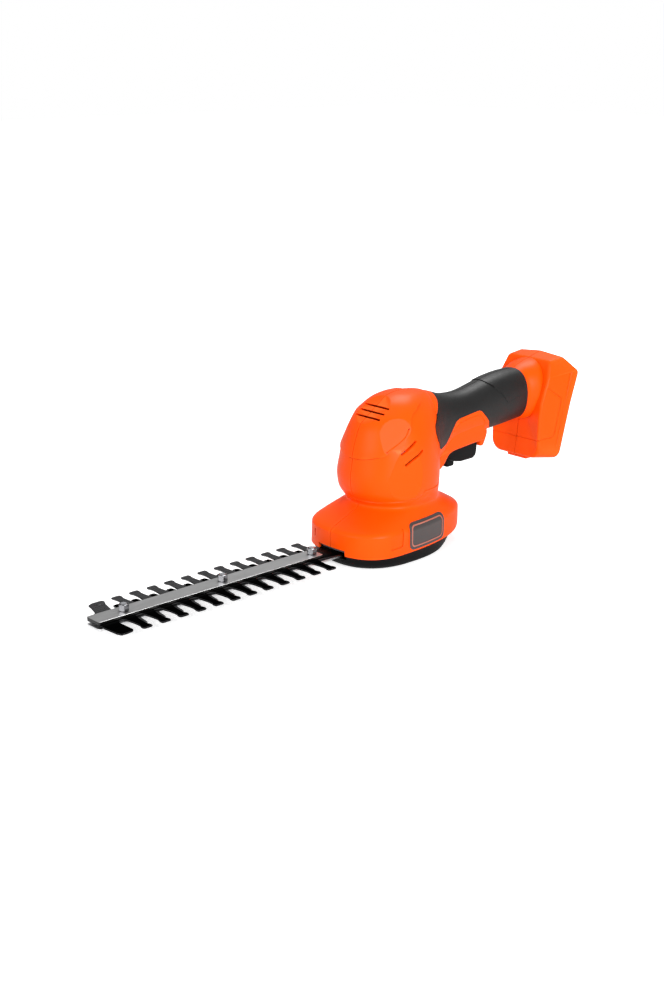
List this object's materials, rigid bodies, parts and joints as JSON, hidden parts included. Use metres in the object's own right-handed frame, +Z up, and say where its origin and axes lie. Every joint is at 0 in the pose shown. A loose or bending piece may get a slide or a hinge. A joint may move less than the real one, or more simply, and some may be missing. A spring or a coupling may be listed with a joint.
{
  "type": "cordless shrub trimmer",
  "caption": "Hand-held cordless shrub trimmer: squat orange body with a rubber-skinned handle, trigger, battery foot and a long two-sided comb blade.",
  "frame": {"origin": "on the ground under the crank gear's shaft, on the flat underside of the sole cover", "axes": "+X forward along the blade to its tip, +Y to the operator's left, +Z up"},
  "size_m": [0.4905, 0.0891, 0.1413],
  "materials": {
    "orange_plastic": "satin moulded",
    "black_plastic": "fine texture",
    "grip_rubber": "soft matte skin",
    "blade_steel": "dark coated",
    "bar_steel": "blasted",
    "bright_steel": "bright plated",
    "zinc_steel": "zinc plated",
    "gear_steel": "sintered",
    "bronze": "sintered bronze",
    "copper": "enamelled copper windings",
    "brass": "stamped",
    "wire_red": "smooth insulation",
    "wire_black": "smooth insulation",
    "glass_nylon": "glass-filled nylon",
    "grey_plastic": "satin moulded",
    "magnet_ferrite": "sintered ferrite"
  },
  "bodies": {
    "housing": {"badge_plate": "grey_plastic", "battery_wire_left": "wire_red", "battery_wire_right": "wire_black", "blade_bolt_1": "zinc_steel", "blade_bolt_2": "zinc_steel", "blade_bolt_3": "zinc_steel", "blade_nut_1": "bright_steel", "blade_nut_2": "bright_steel", "blade_nut_3": "bright_steel", "blade_support_bar": "bright_steel", "crank_bush": "bronze", "fixed_comb": "blade_steel", "gear_plate": "glass_nylon", "gearbox_cover": "glass_nylon", "grip_left": "grip_rubber", "grip_right": "grip_rubber", "guide_bar": "bar_steel", "housing_left": "orange_plastic", "housing_right": "orange_plastic", "housing_screw_1": "bright_steel", "housing_screw_2": "bright_steel", "housing_screw_3": "bright_steel", "housing_screw_4": "bright_steel", "housing_screw_5": "bright_steel", "housing_screw_6": "bright_steel", "idler_axle": "bright_steel", "motor_bush": "bronze", "motor_can": "zinc_steel", "motor_end_bell": "glass_nylon", "motor_magnet_left": "magnet_ferrite", "motor_magnet_right": "magnet_ferrite", "motor_wire_left": "wire_red", "motor_wire_right": "wire_black", "sole_cover": "black_plastic", "switch_module": "grey_plastic", "terminal_blade_1": "brass", "terminal_blade_2": "brass", "terminal_blade_3": "brass", "terminal_block": "black_plastic", "trigger_spring": "bright_steel"},
    "rotor": {"motor_armature": "copper", "motor_pinion": "gear_steel"},
    "idler": {"idler_gear": "gear_steel"},
    "crank": {"crank_gear": "gear_steel"},
    "blade": {"moving_comb": "blade_steel"},
    "trigger": {"trigger": "black_plastic", "switch_plunger": "black_plastic", "lock_off_spring": "bright_steel"},
    "lock_off": {"lock_off_button": "black_plastic"},
    "latch": {"sole_latch": "black_plastic"}
  },
  "joints": [
    {"name": "motor_spin", "type": "hinge", "parent": "housing", "child": "rotor", "pos_m": [-0.014, 0, 0.064], "axis": [0, 0, 1], "range_deg": [-763.94, 763.94]},
    {"name": "idler_spin", "type": "hinge", "parent": "housing", "child": "idler", "pos_m": [-0.007, -0.01959, 0.027], "axis": [0, 0, 1], "range_deg": [-229.2, 229.2]},
    {"name": "crank_spin", "type": "hinge", "parent": "housing", "child": "crank", "pos_m": [0, 0, 0.022], "axis": [0, 0, 1], "range_deg": [-68.76, 68.76]},
    {"name": "blade_slide", "type": "slide", "parent": "housing", "child": "blade", "axis": [1, 0, 0], "range_m": [-0.005, 0.005]},
    {"name": "trigger_press", "type": "slide", "parent": "housing", "child": "trigger", "axis": [0, 0, 1], "range_m": [0, 0.005], "stiffness_N_per_m": 800, "springref_m": -0.005, "deforming": ["trigger_spring"]},
    {"name": "lock_off_press", "type": "slide", "parent": "trigger", "child": "lock_off", "axis": [0, 0, 1], "range_m": [0, 0.004], "stiffness_N_per_m": 400, "springref_m": -0.003, "deforming": ["lock_off_spring"]},
    {"name": "latch_slide", "type": "slide", "parent": "housing", "child": "latch", "axis": [-1, 0, 0], "range_m": [0, 0.003], "stiffness_N_per_m": 800, "springref_m": -0.003}
  ],
  "couplings": [
    {"joint": "idler_spin", "follows": "motor_spin", "ratio": -0.3},
    {"joint": "crank_spin", "follows": "motor_spin", "ratio": 0.09},
    {"joint": "blade_slide", "follows": "motor_spin", "m_per_rad": -0.000375}
  ]
}
